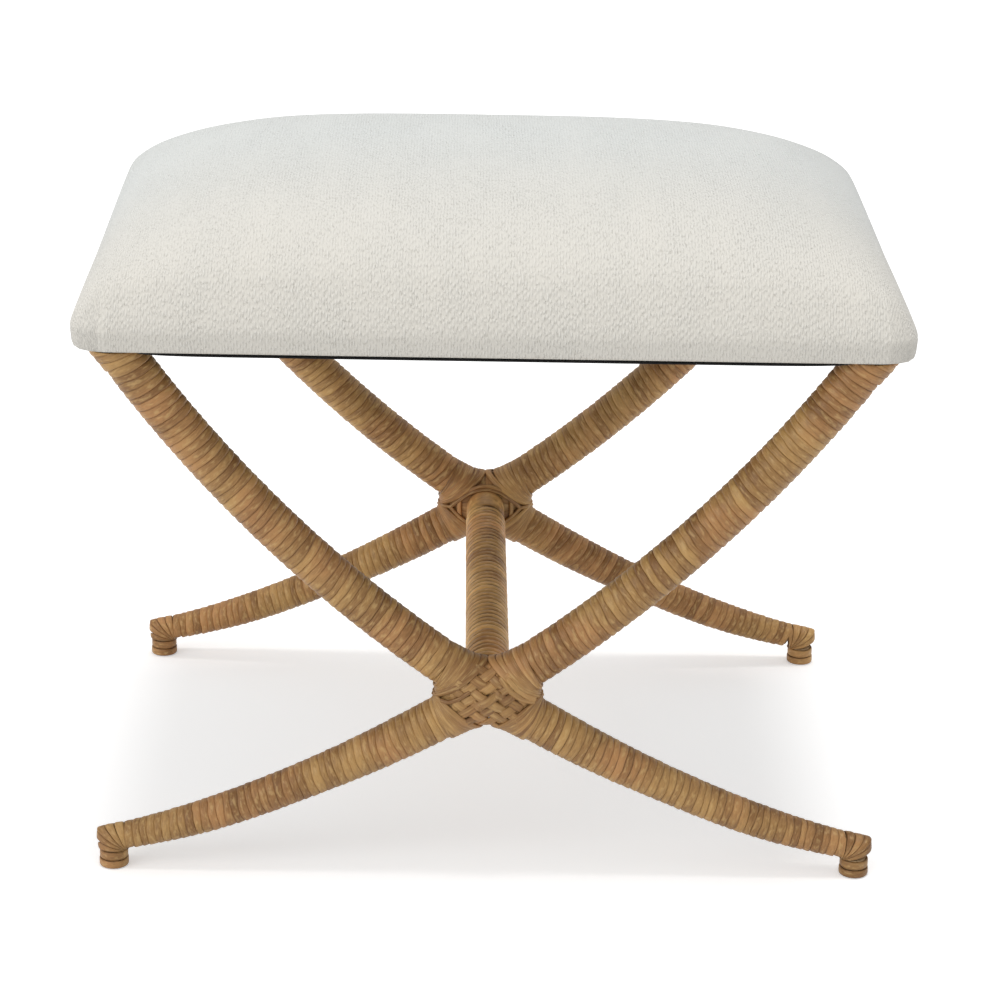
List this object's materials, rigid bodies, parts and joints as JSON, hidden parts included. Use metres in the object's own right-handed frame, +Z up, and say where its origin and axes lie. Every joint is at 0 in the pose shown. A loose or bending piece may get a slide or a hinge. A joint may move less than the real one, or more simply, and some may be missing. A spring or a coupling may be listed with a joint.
{
  "type": "upholstered bench",
  "caption": "Low rectangular bench: a crowned upholstered seat on curved poles wound with cane, crossed at front and back and joined by a round stretcher.",
  "frame": {"origin": "on the floor, under the middle of the seat", "axes": "+X along the seat's width, +Y from the front to the back, +Z up"},
  "size_m": [0.61, 0.45, 0.5158],
  "materials": {
    "cream_cloth": "chunky cream woven cloth, matte",
    "foam": "upholstery foam",
    "plywood": "bare plywood",
    "black_cloth": "thin black lining cloth",
    "rattan_pole": "bent rattan pole, peeled",
    "cane": "brown cane strips with a soft sheen",
    "beech": "plain turned beech",
    "zinc_steel": "zinc plated",
    "brown_plastic": "moulded"
  },
  "bodies": {
    "root": {"dust_cover": "black_cloth", "front_cross_dowel": "beech", "front_foot_binding_left": "cane", "front_foot_binding_right": "cane", "front_foot_glide_left": "brown_plastic", "front_foot_glide_right": "brown_plastic", "front_foot_peg_left": "beech", "front_foot_peg_right": "beech", "front_knot": "cane", "front_pole_left": "rattan_pole", "front_pole_right": "rattan_pole", "front_top_binding_left": "cane", "front_top_binding_right": "cane", "front_winding_left_lower": "cane", "front_winding_left_upper": "cane", "front_winding_right_lower": "cane", "front_winding_right_upper": "cane", "rear_cross_dowel": "beech", "rear_foot_binding_left": "cane", "rear_foot_binding_right": "cane", "rear_foot_glide_left": "brown_plastic", "rear_foot_glide_right": "brown_plastic", "rear_foot_peg_left": "beech", "rear_foot_peg_right": "beech", "rear_knot": "cane", "rear_pole_left": "rattan_pole", "rear_pole_right": "rattan_pole", "rear_top_binding_left": "cane", "rear_top_binding_right": "cane", "rear_winding_left_lower": "cane", "rear_winding_left_upper": "cane", "rear_winding_right_lower": "cane", "rear_winding_right_upper": "cane", "seat_board": "plywood", "seat_cover": "cream_cloth", "seat_foam": "foam", "seat_screw_front_left_1": "zinc_steel", "seat_screw_front_left_2": "zinc_steel", "seat_screw_front_right_1": "zinc_steel", "seat_screw_front_right_2": "zinc_steel", "seat_screw_rear_left_1": "zinc_steel", "seat_screw_rear_left_2": "zinc_steel", "seat_screw_rear_right_1": "zinc_steel", "seat_screw_rear_right_2": "zinc_steel", "stretcher": "rattan_pole", "stretcher_winding": "cane"}
  },
  "joints": []
}
